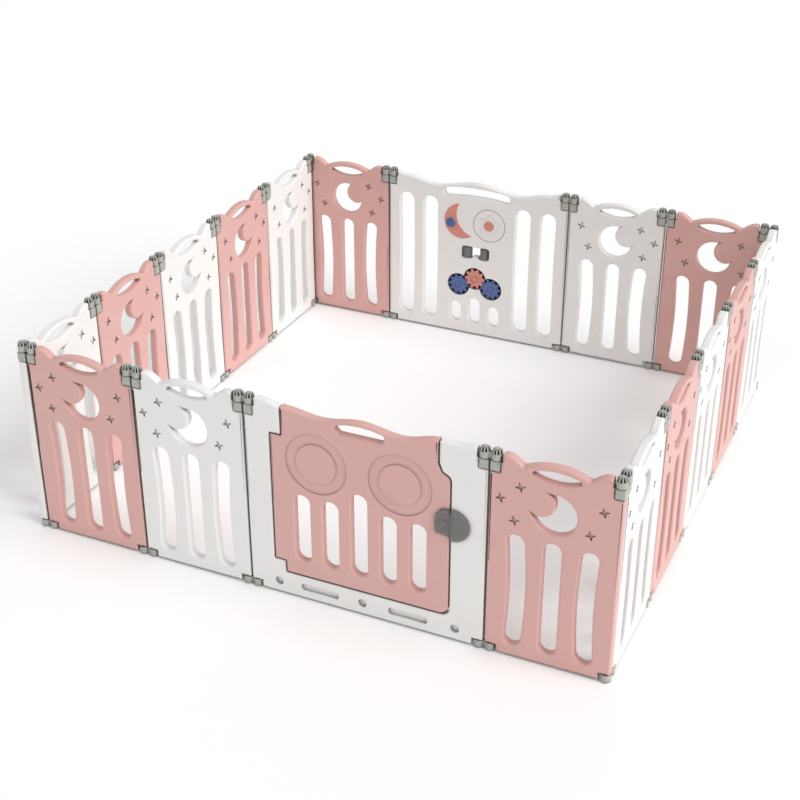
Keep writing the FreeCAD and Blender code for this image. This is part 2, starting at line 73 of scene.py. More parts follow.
# polygon whose corners (x, z, radius) become tangent arcs
def rounded(corners, step=12):
    ring = []
    for i, (x, z, radius) in enumerate(corners):
        here = Vector((x, z))
        before = Vector(corners[i - 1][:2]) - here
        after = Vector(corners[(i + 1) % len(corners)][:2]) - here
        if radius <= 0:
            ring.append((x, z))
            continue
        half = before.angle(after) / 2
        reach = min(radius / math.tan(half), before.length * 0.49, after.length * 0.49)
        radius = reach * math.tan(half)
        heart = here + (before.normalized() + after.normalized()).normalized() * radius / math.sin(half)
        first = here + before.normalized() * reach - heart
        last = here + after.normalized() * reach - heart
        sweep = first.angle_signed(last)
        count = max(2, int(abs(math.degrees(sweep)) / step))
        for k in range(count + 1):
            turn = -sweep * k / count
            ring.append((heart.x + first.x * math.cos(turn) - first.y * math.sin(turn),
                         heart.y + first.x * math.sin(turn) + first.y * math.cos(turn)))
    return ring


# soft wave through key heights, level at each key
def wave(keys, step=8):
    points = []
    for (x0, z0), (x1, z1) in zip(keys, keys[1:]):
        count = max(2, int(abs(x1 - x0) / step))
        for k in range(count):
            share = k / count
            points.append((x0 + (x1 - x0) * share, z0 + (z1 - z0) * (1 - math.cos(math.pi * share)) / 2))
    return points + [keys[-1]]


# upright slot whose sides bow sideways in the middle
def slotRing(x, low, high, wide, bow=0, count=14):
    half = wide / 2
    ring = arcPoints(x, low + half, half, 180, 360, count)
    rise = [low + half + (high - low - wide) * k / count for k in range(1, count)]
    ring += [(x + half, z) for z in rise]
    ring += arcPoints(x, high - half, half, 0, 180, count)
    ring += [(x - half, z) for z in reversed(rise)]
    return [(px + bow * math.sin(math.pi * (pz - low) / (high - low)), pz) for px, pz in ring]


# flat piece from rings of points, its edges rolled over and its outline turned by an angle for the fill
def filled(rings, near, far, roll, segments, angle):
    curve = bpy.data.curves.new("outline", "CURVE")
    curve.dimensions = "2D"
    curve.fill_mode = "BOTH"
    turn = Matrix.Rotation(angle, 3, "Z")
    for ring in rings:
        spline = curve.splines.new("POLY")
        spline.points.add(len(ring) - 1)
        for point, (x, z) in zip(spline.points, ring):
            point.co = (*(turn @ Vector((x / 1000, z / 1000, 0))), 1)
        spline.use_cyclic_u = True
    curve.extrude = (far - near) / 2000 - roll / 1000
    curve.bevel_depth = roll / 1000
    curve.bevel_resolution = segments
    curve.offset = -roll / 1000
    holder = bpy.data.objects.new("outline", curve)
    mesh = bpy.data.meshes.new_from_object(holder)
    bpy.data.objects.remove(holder)
    bpy.data.curves.remove(curve)
    mesh.transform(Matrix.Translation((0, (near + far) / 2000, 0)) @ Matrix.Rotation(math.pi / 2, 4, "X")
                   @ turn.inverted().to_4x4())
    return closed(mesh)


# the same piece at the first angle whose fill has no open edge; thickness runs inward along +y
def slab(rings, near, far, roll, segments=3):
    for angle in (0.37, 0.1, 0.7, 1.1, 0, 1.7, 2.3, 2.9):
        mesh = filled(rings, near, far, roll, segments, angle)
        if openEdges(mesh) == 0:
            return mesh
    print("open outline", openEdges(mesh))
    return mesh


# counts edges that don't join exactly two faces
def openEdges(mesh):
    work = bmesh.new()
    work.from_mesh(mesh)
    count = sum(1 for edge in work.edges if not edge.is_manifold)
    work.free()
    return count


# merges doubles, drops stray faces and turns the rest outwards
def closed(mesh):
    work = bmesh.new()
    work.from_mesh(mesh)
    bmesh.ops.remove_doubles(work, verts=work.verts, dist=0.00002)
    bmesh.ops.dissolve_degenerate(work, edges=work.edges, dist=0.00002)
    # stray fill faces outside the outline hang on one open edge
    stray = [face for face in work.faces if any(edge.is_boundary for edge in face.edges)
             and any(len(edge.link_faces) > 2 for edge in face.edges)]
    bmesh.ops.delete(work, geom=stray, context="FACES")
    bmesh.ops.recalc_face_normals(work, faces=work.faces)
    work.to_mesh(mesh)
    work.free()
    return mesh


# turned piece about +Z from (radius, z) points in millimetres, closed at both ends
def turned(profile, count=32):
    work = bmesh.new()
    rings = []
    for radius, z in profile:
        if radius == 0:
            rings.append([work.verts.new((0, 0, z / 1000))])
            continue
        rings.append([work.verts.new((radius / 1000 * math.cos(2 * math.pi * k / count),
                                      radius / 1000 * math.sin(2 * math.pi * k / count), z / 1000))
                      for k in range(count)])
    for lower, upper in zip(rings, rings[1:]):
        for k in range(count):
            corners = [lower[k % len(lower)], lower[(k + 1) % len(lower)],
                       upper[(k + 1) % len(upper)], upper[k % len(upper)]]
            work.faces.new(list(dict.fromkeys(corners)))
    bmesh.ops.recalc_face_normals(work, faces=work.faces)
    mesh = bpy.data.meshes.new("turned")
    work.to_mesh(mesh)
    work.free()
    return mesh


def moved(mesh, matrix):
    copy = mesh.copy()
    copy.transform(matrix)
    return copy


def inMaterial(mesh, material):
    mesh.materials.clear()
    mesh.materials.append(material)
    return mesh


# a turned piece laid on its side, its top pointing into the pen
def towardInside(mesh, x, z):
    return moved(mesh, Matrix.Translation((x / 1000, 0, z / 1000)) @ Matrix.Rotation(-math.pi / 2, 4, "X"))


# one mesh from several, each with its material
def joined(parts):
    work = bmesh.new()
    for index, (mesh, _) in enumerate(parts):
        before = len(work.faces)
        work.from_mesh(mesh)
        work.faces.ensure_lookup_table()
        for face in work.faces[before:]:
            face.material_index = index
    mesh = bpy.data.meshes.new("joined")
    work.to_mesh(mesh)
    work.free()
    for _, material in parts:
        mesh.materials.append(material)
    return mesh


def evaluated(holder):
    bpy.context.view_layer.update()
    graph = bpy.context.evaluated_depsgraph_get()
    return bpy.data.meshes.new_from_object(holder.evaluated_get(graph), depsgraph=graph)


# holds a mesh in the scene while its modifiers are applied
def withModifiers(mesh, *settings):
    holder = bpy.data.objects.new("holder", mesh)
    bpy.context.collection.objects.link(holder)
    for kind, values in settings:
        modifier = holder.modifiers.new(kind, kind)
        for key, value in values.items():
            setattr(modifier, key, value)
    result = evaluated(holder)
    bpy.data.objects.remove(holder)
    return result


def carved(mesh, cutter):
    tool = bpy.data.objects.new("cutter", cutter)
    bpy.context.collection.objects.link(tool)
    result = withModifiers(mesh, ("BOOLEAN", {"object": tool, "operation": "DIFFERENCE", "solver": "EXACT"}))
    bpy.data.objects.remove(tool)
    return result


def shaded(mesh, sharp=32):
    mesh.polygons.foreach_set("use_smooth", [True] * len(mesh.polygons))
    mesh.set_sharp_from_angle(angle=math.radians(sharp))
    return withModifiers(mesh, ("WEIGHTED_NORMAL", {"keep_sharp": True, "weight": 100}))


def stand(name, mesh, body, nodes=()):
    piece = bpy.data.objects.new(name, mesh)
    bpy.context.collection.objects.link(piece)
    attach(piece, body)
    if nodes:
        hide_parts(*nodes)
    return piece


# sRGB hex code to linear colour
def linear(code):
    channels = [int(code[i:i + 2], 16) / 255 for i in (1, 3, 5)]
    return [c / 12.92 if c <= 0.04045 else ((c + 0.055) / 1.055) ** 2.4 for c in channels] + [1]


def addNode(tree, kind, links=(), **settings):
    node = tree.nodes.new(kind)
    for key, value in settings.items():
        if key in node.inputs:
            node.inputs[key].default_value = value
        else:
            setattr(node, key, value)
    for source, target in links:
        tree.links.new(source, node.inputs[target])
    return node


def plastic(name, code, shade, look):
    material = bpy.data.materials.new(name)
    material.use_nodes = True
    tree = material.node_tree
    shader = tree.nodes["Principled BSDF"]
    shader.inputs["IOR"].default_value = look["ior"]
    shader.inputs["Metallic"].default_value = look.get("metallic", 0)
    shader.inputs["Roughness"].default_value = look["roughness"]
    shader.inputs["Coat Weight"].default_value = look.get("coat", 0)
    shader.inputs["Coat Roughness"].default_value = 0.25
    shader.inputs["Alpha"].default_value = look.get("alpha", 1)
    if look.get("depth", 0):
        shader.inputs["Subsurface Weight"].default_value = look["depth"]
        shader.inputs["Subsurface Radius"].default_value = (0.004, 0.003, 0.0025)
        shader.inputs["Subsurface Scale"].default_value = 1
    place = addNode(tree, "ShaderNodeTexCoord").outputs["Object"]
    # pigment clouds, about a hand wide
    clouds = addNode(tree, "ShaderNodeTexNoise", [(place, "Vector")], Scale=1000 / look["cloudMm"],
                     Detail=3.0)
    tint = addNode(tree, "ShaderNodeMix", [(clouds.outputs["Fac"], "Factor")], data_type="RGBA")
    tint.inputs[6].default_value = linear(code)
    tint.inputs[7].default_value = linear(shade)
    # pale edge marks, painted highlight along the edges that also stands for wear from rubbing, where a
    # softened normal leaves the true one
    soft = addNode(tree, "ShaderNodeBevel", Radius=look["rubMm"] / 1000, samples=4)
    true = addNode(tree, "ShaderNodeNewGeometry").outputs["Normal"]
    turn = addNode(tree, "ShaderNodeVectorMath", [(soft.outputs[0], 0), (true, 1)], operation="DOT_PRODUCT")
    ramp = addNode(tree, "ShaderNodeMapRange", [(turn.outputs["Value"], "Value")])
    ramp.inputs["From Min"].default_value = 0.995
    ramp.inputs["From Max"].default_value = 0.93
    ramp.inputs["To Max"].default_value = look["rub"]
    rubbedAndHighlit = addNode(tree, "ShaderNodeMix", [(ramp.outputs["Result"], "Factor"), (tint.outputs[2], 6)],
                   data_type="RGBA")
    rubbedAndHighlit.inputs[7].default_value = linear(look["rubCode"])
    # painted shade in grooves and seams, darker where the ambient occlusion is low
    crease = addNode(tree, "ShaderNodeAmbientOcclusion", Distance=look["creaseMm"] / 1000, samples=6)
    depth = addNode(tree, "ShaderNodeMapRange", [(crease.outputs["AO"], "Value")])
    depth.inputs["From Min"].default_value = 0.35
    depth.inputs["From Max"].default_value = 0.9
    depth.inputs["To Min"].default_value = look["crease"]
    creaseShaded = addNode(tree, "ShaderNodeMix", [(depth.outputs["Result"], "Factor"), (rubbedAndHighlit.outputs[2], 7)],
                    data_type="RGBA")
    creaseShaded.inputs[6].default_value = linear(look["creaseCode"])
    tree.links.new(creaseShaded.outputs[2], shader.inputs["Base Color"])
    # fine mould grain over slow waviness of the wall
    grain = addNode(tree, "ShaderNodeTexNoise", [(place, "Vector")], Scale=1000 / look["grainMm"], Detail=2.0)
    slow = addNode(tree, "ShaderNodeTexNoise", [(place, "Vector")], Scale=1000 / look["waveMm"], Detail=1.0)
    swell = addNode(tree, "ShaderNodeBump", [(slow.outputs["Fac"], "Height")], Strength=look["waveBump"],
                    Distance=0.002)
    bump = addNode(tree, "ShaderNodeBump",
                   [(grain.outputs["Fac"], "Height"), (swell.outputs["Normal"], "Normal")],
                   Strength=look["grainBump"], Distance=0.0004)
    tree.links.new(bump.outputs["Normal"], shader.inputs["Normal"])
    return material


# painted shade in creases and pale edge marks, painted highlight together with wear from rubbing, shared by
# all the plastics
shadeSheenAndRub = {"creaseMm": 14, "crease": 0.25, "creaseCode": "#3A3634", "rubMm": 2.5, "rubCode": "#FFFFFF"}
# blow-moulded polyethylene: waxy, a little light comes back from inside, grain drawn coarser than life
blownLook = dict(shadeSheenAndRub, ior=1.51, roughness=0.42, cloudMm=90, grainMm=2.2, grainBump=0.25, waveMm=70,
                 waveBump=0.12, rub=0.22, depth=0.08)
# injection-moulded polypropylene: harder and a little glossier
mouldedLook = dict(shadeSheenAndRub, ior=1.49, roughness=0.38, cloudMm=25, grainMm=1.2, grainBump=0.2, waveMm=20,
                   waveBump=0.1, rub=0.3, rubCode="#DEDEDA")
# polished mould: bright, nearly smooth toys
toyLook = dict(shadeSheenAndRub, ior=1.5, roughness=0.3, cloudMm=30, grainMm=1.5, grainBump=0.1, waveMm=20,
               waveBump=0.08, rub=0.25, coat=0.3)
# smoked polycarbonate: glossy and half see-through
smokyLook = dict(shadeSheenAndRub, ior=1.46, roughness=0.12, cloudMm=30, grainMm=1.5, grainBump=0.05, waveMm=25,
                 waveBump=0.08, creaseMm=6, crease=0.5, rubMm=2, rub=0.1, alpha=0.5, coat=0.4)
# zinc-plated steel: pale, even metal
steelLook = dict(mouldedLook, ior=1.5, roughness=0.3, rub=0, metallic=1)
whitePolyethylene = plastic("whitePolyethylene", "#F3F2F0", "#ECEBE9", blownLook)
pinkPolyethylene = plastic("pinkPolyethylene", "#E0B3AC", "#DAAAA2", blownLook)
greyPolypropylene = plastic("greyPolypropylene", "#B6B7AF", "#A9AAA3", mouldedLook)
slatePolypropylene = plastic("slatePolypropylene", "#76777A", "#6A6B6E", mouldedLook)
# dark colour for the link cores, also used as painted shade on the gear pit floors
darkPolypropylene = plastic("darkPolypropylene", "#24262B", "#1C1E22", dict(mouldedLook, rub=0))
bluePolypropylene = plastic("bluePolypropylene", "#3B60A6", "#365899", toyLook)
salmonPolypropylene = plastic("salmonPolypropylene", "#DE8C7C", "#D58373", toyLook)
smokyPolycarbonate = plastic("smokyPolycarbonate", "#8E8C89", "#868481", smokyLook)
zincSteel = plastic("zincSteel", "#B9B9B4", "#A9A9A4", steelLook)
print("materials")


# narrow section; slots are (x, bow), stars are (x, z, turn)
narrow = {"half": 168, "thick": 14, "end": 14.5, "notch": 19, "seat": 14.6, "low": 5, "foot": 27,
          "bracketLow": 587, "bracketTop": 618, "top": 645, "roll": 6.5,
          "slotWide": 50, "slotLow": 42, "slotHigh": 405,
          "slots": [(-105, 9), (0, 0), (105, -8)],
          "shoulder": 138, "valley": 154, "valleyZ": 744, "arch": 205, "archInner": 188, "archZ": 436,
          "moonZ": 495, "moonRadius": 61, "biteX": -41, "biteZ": 522, "biteRadius": 42,
          "stars": [(-96, 558, 15), (-150, 513, 15), (-110, 451, 15), (132, 540, 15), (100, 461, 15)],
          "starRadius": 19, "starWaist": 6.5, "starDeep": 5}
wide = dict(narrow, half=353)


# outline corners of one end, from the bottom edge up to the top edge, for sign -1 (left) or 1 (right)
def endCorners(sizes, sign):
    edge = sizes["half"] + sizes["end"]
    notch = sizes["half"] - sizes["notch"]
    seat = sizes["half"] - sizes["seat"]
    corners = [(notch, sizes["low"], 5), (notch, sizes["foot"], 0), (edge, sizes["foot"], 5),
               (edge, sizes["bracketLow"], 3), (seat, sizes["bracketLow"], 5), (seat, sizes["bracketTop"], 2),
               (notch, sizes["bracketTop"] + 1, 2), (notch, sizes["top"], 7)]
    corners = [(sign * x, z, radius) for x, z, radius in corners]
    return corners if sign > 0 else corners[::-1]


# angle at which circle one meets circle two, both on the same upright line
def meeting(radius, z, otherRadius, otherZ):
    rise = otherZ - z
    along = (rise * rise + radius * radius - otherRadius * otherRadius) / (2 * rise)
    return math.degrees(math.asin(along / radius))


# straight-walled pocket with four curved-in sides
def starMesh(radius, waist, deep, turn, points=4):
    rim = []
    for k in range(points * 2):
        reach = radius if k % 2 == 0 else waist
        angle = math.radians(turn + 180 / points * k)
        rim.append((reach * math.cos(angle), reach * math.sin(angle), 1.5 if k % 2 == 0 else 4))
    return slab([rounded(rim, 30)], -deep, 2, 0.7, 0)


def starCutters(sizes):
    parts = []
    for x, z, turn in sizes["stars"]:
        for face in (1, -1):
            star = starMesh(sizes["starRadius"], sizes["starWaist"], sizes["starDeep"], turn)
            spot = Matrix.Translation((x / 1000, face * sizes["thick"] / 1000, z / 1000))
            side = Matrix.Identity(4) if face > 0 else Matrix.Scale(-1, 4, (0, 1, 0))
            parts.append((closed(moved(star, spot @ side)), None))
    return joined(parts)


# corners where the two circles meet, then an arc of each; tip is how far short of the corners they stop
def crescent(x, z, radius, biteX, biteZ, biteRadius, tip):
    gap = Vector((biteX - x, biteZ - z))
    along = (gap.length ** 2 + radius ** 2 - biteRadius ** 2) / (2 * gap.length)
    lean = math.degrees(math.atan2(gap.y, gap.x))
    spread = math.degrees(math.acos(along / radius))
    biteAlong = along - gap.length
    biteSpread = math.degrees(math.acos(biteAlong / biteRadius))
    outer = arcPoints(x, z, radius, lean + spread + tip, lean + 360 - spread - tip, 40)
    inner = arcPoints(biteX, biteZ, biteRadius, lean + 360 - biteSpread + tip, lean + biteSpread - tip, 24)
    return outer + inner


def narrowMesh(sizes):
    top = sizes["top"]
    valleyMeet = -meeting(sizes["valley"], -sizes["valleyZ"], sizes["arch"], -sizes["archZ"])
    archMeet = meeting(sizes["arch"], sizes["archZ"], sizes["valley"], sizes["valleyZ"])
    # shoulders fall in a quarter wave to where the arch springs
    rootX = sizes["valley"] * math.cos(math.radians(valleyMeet))
    rootZ = sizes["valleyZ"] + sizes["valley"] * math.sin(math.radians(valleyMeet))
    right = [(rootX + (sizes["shoulder"] - rootX) * k / 10,
              rootZ + (top - rootZ) * math.sin(math.pi * k / 20)) for k in range(10, -1, -1)]
    left = [(-x, z) for x, z in reversed(right)]
    arch = arcPoints(0, sizes["archZ"], sizes["arch"], archMeet, 180 - archMeet, 26)
    outline = [(x, z, 0) for x, z in right + arch[1:-1] + left]
    for index, radius in ((0, 30), (-1, 30), (len(right) - 1, 7), (-len(left), 7)):
        outline[index] = (*outline[index][:2], radius)
    rings = [rounded(endCorners(sizes, 1) + outline + endCorners(sizes, -1))]
    lensLow = -meeting(sizes["valley"], -sizes["valleyZ"], sizes["archInner"], -sizes["archZ"])
    lensHigh = meeting(sizes["archInner"], sizes["archZ"], sizes["valley"], sizes["valleyZ"])
    lens = arcPoints(0, sizes["valleyZ"], sizes["valley"], -180 - lensLow + 3, lensLow - 3, 18)
    lens += arcPoints(0, sizes["archZ"], sizes["archInner"], lensHigh + 3, 177 - lensHigh, 18)
    rings.append(lens)
    for x, bow in sizes["slots"]:
        rings.append(slotRing(x, sizes["slotLow"], sizes["slotHigh"], sizes["slotWide"], bow))
    rings.append(crescent(0, sizes["moonZ"], sizes["moonRadius"], sizes["biteX"], sizes["biteZ"],
                          sizes["biteRadius"], 7))
    mesh = slab(rings, -sizes["thick"], sizes["thick"], sizes["roll"])
    return shaded(carved(mesh, starCutters(sizes)))


def standNarrow():
    master = narrowMesh(narrow)
    pink = {"front_panel_1", "front_panel_3", "right_panel_2", "right_panel_4",
            "back_panel_1", "back_panel_3", "left_panel_2", "left_panel_4"}
    nodes = [name for name in bodyOf if "_panel_" in name and not name.endswith("_brackets")]
    for name in nodes:
        mesh = moved(master, wallMatrix(middleOf(name), headings[name.split("_")[0]]))
        material, slot = ((pinkPolyethylene, "pink_panels") if name in pink
                          else (whitePolyethylene, "white_panels"))
        stand(name + "_shell", inMaterial(mesh, material), bodyOf[name], [name])
    print("narrow sections", len(nodes))


standNarrow()

gate = {"postRight": 265, "postTopRight": 229, "rail": 80, "knuckle": -253, "postLeft": -289, "stepLow": 120,
        "stepHigh": 546, "roll": 5,
        "dimples": [(-276, 43), (-5, 43), (283, 43)], "dimple": 14, "dimpleDeep": 9,
        "slots": [(-203, -81), (77, 199)], "slotLow": 31, "slotHigh": 55, "slotDeep": 8,
        "top": [(-334, 645), (-300, 643), (-253, 632)], "topRight": [(229, 642), (280, 640), (334, 645)],
        "pinX": -271, "pinRadius": 3.8, "pins": [(92, 149), (517, 574)]}
door = {"left": -286, "leftStep": -250, "right": 262, "rightTop": 225, "low": 84, "roll": 5.5,
        "top": [(-250, 634), (-243, 633), (-128, 620), (-8, 636), (117, 620), (222, 641), (225, 641)],
        "slots": [(-192, 360), (-102, 360), (-12, 408), (78, 360), (168, 360)],
        "slotWide": 50, "slotLow": 135,
        "grip": [(-72, 590, 11), (56, 590, 11), (68, 602, 9), (64, 615, 7), (30, 622, 40), (-8, 625, 90),
                 (-46, 622, 40), (-80, 615, 7), (-84, 602, 9)],
        "rings": [(-143, 475), (114, 475)], "ringOuter": 97, "ringInner": 62, "ringDeep": 3.5}
# the latch turns about the middle of its boss, 17 mm from the door's free edge
latch = {"x": 245, "z": 393, "near": -24, "far": -14.6, "roll": 3.5, "radius": 50, "boss": 11}


# cutter that sinks into a face: -1 is the outer face, 1 the inner one
def recess(rings, deep, face):
    thick = wide["thick"]
    near, far = (-thick - 3, -thick + deep) if face < 0 else (thick - deep, thick + 3)
    return slab(rings, near, far, 0.8, 1)


def gateFrameMesh():
    outline = endCorners(wide, 1)
    outline += [(x, z, 0) for x, z in reversed(wave(gate["topRight"])[1:-1])]
    outline += [(gate["postTopRight"], 642, 6), (gate["postTopRight"], 575, 20),
                (gate["postTopRight"] + 10, 548, 18),
                (gate["postRight"], 536, 26), (gate["postRight"], gate["rail"], 26),
                (gate["knuckle"], gate["rail"], 4), (gate["knuckle"], gate["stepLow"], 4),
                (gate["postLeft"], gate["stepLow"], 3), (gate["postLeft"], gate["stepHigh"], 3),
                (gate["knuckle"], gate["stepHigh"], 4), (gate["knuckle"], 632, 6)]
    outline += [(x, z, 0) for x, z in reversed(wave(gate["top"])[1:-1])]
    mesh = slab([rounded(outline + endCorners(wide, -1))], -wide["thick"], wide["thick"], gate["roll"])
    cutters = []
    for face in (-1, 1):
        rings = [circle(x, z, gate["dimple"], 32) for x, z in gate["dimples"]]
        cutters.append((recess(rings, gate["dimpleDeep"], face), None))
        rings = [rounded([(a, gate["slotLow"], 9), (b, gate["slotLow"], 9), (b, gate["slotHigh"], 9),
                          (a, gate["slotHigh"], 9)]) for a, b in gate["slots"]]
        cutters.append((recess(rings, gate["slotDeep"], face), None))
    return shaded(carved(mesh, joined(cutters)))


def doorMesh():
    outline = [(door["leftStep"], door["low"], 8), (door["right"], door["low"], 30), (door["right"], 533, 28),
               (door["rightTop"] + 12, 545, 20), (door["rightTop"], 572, 20), (door["rightTop"], 641, 10)]
    outline += [(x, z, 0) for x, z in reversed(wave(door["top"])[1:-1])]
    outline += [(door["leftStep"], 634, 8), (door["leftStep"], 543, 4), (door["left"], 543, 4),
                (door["left"], 123, 4), (door["leftStep"], 123, 4)]
    rings = [rounded(outline)]
    for x, high in door["slots"]:
        rings.append(slotRing(x, door["slotLow"], high, door["slotWide"]))
    rings.append(rounded(door["grip"]))
    mesh = slab(rings, -wide["thick"], wide["thick"], door["roll"])
    cutters = []
    for face in (-1, 1):
        for x, z in door["rings"]:
            ring = [circle(x, z, door["ringOuter"], 72), circle(x, z, door["ringInner"], 60)]
            cutters.append((recess(ring, door["ringDeep"], face), None))
    return shaded(carved(mesh, joined(cutters)))


# tongue over the post, paddle on the door, the bar between them and a raised turning boss
def latchMesh():
    x, z, near, far = (latch[key] for key in ("x", "z", "near", "far"))
    rim = arcPoints(x + 27, z - 4, latch["radius"], -84, 84, 28)
    tongue = [(x + 22, z - 57, 6)] + [(px, pz, 0) for px, pz in rim] + [(x + 22, z + 49, 6)]
    paddle = [(x - 26, z - 38, 8), (x + 18, z - 42, 4), (x + 18, z + 44, 6), (x - 6, z + 44, 22),
              (x - 26, z + 18, 20)]
    bar = [(x + 14, z - 34, 3), (x + 26, z - 34, 3), (x + 26, z + 34, 3), (x + 14, z + 34, 3)]
    parts = [slab([rounded(tongue)], near, far, latch["roll"]),
             slab([rounded(paddle)], near + 2, far, 3),
             slab([rounded(bar)], near + 3, far - 0.4, 2),
             slab([circle(x, z, latch["boss"], 32)], near - 0.5, far + 24, 1.5)]
    return shaded(joined([(part, smokyPolycarbonate) for part in parts]))


def standGate():
    place = wallMatrix(middleOf("gate_frame"), headings["gate"])
    mesh = inMaterial(moved(gateFrameMesh(), place), whitePolyethylene)
    stand("gate_frame_shell", mesh, bodyOf["gate_frame"], ["gate_frame"])
    mesh = inMaterial(moved(doorMesh(), place), pinkPolyethylene)
    stand("gate_door_shell", mesh, bodyOf["gate_door"], ["gate_door"])
    stand("latch_shell", moved(latchMesh(), place), bodyOf["gate_latch"], ["gate_latch"])
    print("gate")


standGate()

toys = {"pit": 46.5, "pitDeep": 15, "gearRoot": 32, "tooth": 5.5, "toothRing": 37, "teeth": 10,
        "dial": 64, "dialPit": 66, "dialPitFloor": 8.5, "starOuter": 50, "starInner": 27, "starPoints": 5,
        "plateX": 61, "plateZ": 478, "plateRadius": 71, "biteX": -7, "biteZ": 506, "biteRadius": 88,
        "bead": 20}
activity = {"roll": 5.5,
            "top": [(334, 642), (293, 632), (170, 611), (0, 636), (-170, 611), (-293, 632), (-334, 642)],
            "slots": [(-293, 3), (-192, 2), (192, -2), (293, -3)],
            "slotWide": 60, "slotLow": 48, "slotHigh": 561,
            "short": [(-80, 133), (0, 158), (80, 133)], "shortWide": 48, "shortLow": 49,
            "gripRadius": 876, "gripHalf": 119, "gripLow": 579, "gripTall": 34,
            "windowLow": 330, "windowHigh": 376}


def gearRing(phase):
    points = []
    lean = math.degrees(math.asin(toys["tooth"] / toys["toothRing"]))
    step = 360 / toys["teeth"]
    for tooth in range(toys["teeth"]):
        turn = phase + step * tooth
        x, z = (toys["toothRing"] * rule(math.radians(turn)) for rule in (math.cos, math.sin))
        points += arcPoints(x, z, toys["tooth"], turn - 95, turn + 95, 10)
        points += arcPoints(0, 0, toys["gearRoot"], turn + lean + 3, turn + step - lean - 3, 4)
    return points


def standGear(name, material, phase):
    disc = slab([gearRing(phase)], -7, 6, 1.6, 2)
    ridge = slab([circle(0, 0, 24, 48), circle(0, 0, 18, 48)], 5, 8, 0.9, 2)
    hub = towardInside(turned([(0, 5), (9, 5), (9, 8), (7.5, 9.5), (0, 9.5)]), 0, 0)
    mesh = shaded(joined([(disc, material), (ridge, material), (hub, material)]))
    # built lying toward the inside of the back wall, then carried to its axle
    place = Matrix.Translation(middleOf(name)) @ Matrix.Rotation(math.pi, 4, "Z")
    stand(name + "_wheel", moved(mesh, place), bodyOf[name], [name])


def activityMesh(local):
    outline = endCorners(wide, 1)
    outline += [(x, z, 0) for x, z in wave(activity["top"])[1:-1]]
    rings = [rounded(outline + endCorners(wide, -1))]
    for x, bow in activity["slots"]:
        rings.append(slotRing(x, activity["slotLow"], activity["slotHigh"], activity["slotWide"], bow))
    for x, high in activity["short"]:
        rings.append(slotRing(x, activity["shortLow"], high, activity["shortWide"]))
    # bowed grip with round ends
    low, tall, half, radius = (activity[key] for key in ("gripLow", "gripTall", "gripHalf", "gripRadius"))
    lean = math.degrees(math.asin(half / radius))
    under = arcPoints(0, low - radius + 4, radius, 90 + lean, 90 - lean, 20)
    over = arcPoints(0, low + tall - radius + 4, radius, 90 - lean, 90 + lean, 20)
    rightEnd = arcPoints(half, (under[-1][1] + over[0][1]) / 2, tall / 2, -90, 90, 10)[1:-1]
    leftEnd = [(-x, z) for x, z in reversed(rightEnd)]
    rings.append(under + rightEnd + over + leftEnd)
    # dog-bone window of the rollers
    low, high = activity["windowLow"], activity["windowHigh"]
    rings.append(rounded([(-56, low, 8), (-16, low, 6), (-10, low + 8, 4), (10, low + 8, 4), (16, low, 6),
                          (56, low, 8), (56, high, 8), (-56, high, 8)]))
    thick = wide["thick"]
    mesh = withModifiers(slab(rings, -thick, thick, activity["roll"]))
    # overlapping gear pits, each a little deeper than the one before
    for i, (x, z) in enumerate(local["gears"]):
        pitFloor = thick - toys["pitDeep"] - 0.3 * i
        mesh = carved(mesh, slab([circle(x, z, toys["pit"], 60)], pitFloor, thick + 4, 0.5, 1))
    dialPit = slab([circle(*local["dial"], toys["dialPit"], 64)], toys["dialPitFloor"], thick + 4, 0.5, 1)
    return shaded(carved(mesh, dialPit))


def dialMesh(x, z):
    disc = slab([circle(0, 0, toys["dial"], 72)], 9.2, 14.8, 1.2, 2)
    star = []
    for k in range(toys["starPoints"] * 2):
        reach = toys["starOuter"] if k % 2 == 0 else toys["starInner"]
        angle = math.radians(98 + 180 / toys["starPoints"] * k)
        star.append((reach * math.cos(angle), reach * math.sin(angle), 3.5 if k % 2 == 0 else 5))
    raised = slab([rounded(star)], 13, 17, 1.4, 2)
    knob = turned([(0, 15), (19, 15), (20.5, 16), (20.5, 17.6), (18.5, 18.8), (13, 19), (9, 18.2),
                   (0, 18)], 48)
    knob = towardInside(knob, 0, 0)
    mesh = joined([(disc, whitePolyethylene), (raised, whitePolyethylene), (knob, salmonPolypropylene)])
    return moved(shaded(mesh), Matrix.Translation((x / 1000, 0, z / 1000)))


# grooved drum on its axle
def rollerMesh():
    profile = [(0, -27), (4, -27), (4, -22), (14, -22), (17.6, -20)]
    for k in range(5):
        base = -18 + 7.4 * k
        profile += [(18, base + 0.5), (18, base + 4.8), (16.4, base + 5.5), (16.4, base + 6.7)]
    profile = profile[:-1] + [(17.6, 20), (14, 22), (4, 22), (4, 27), (0, 27)]
    return turned(profile, 40)


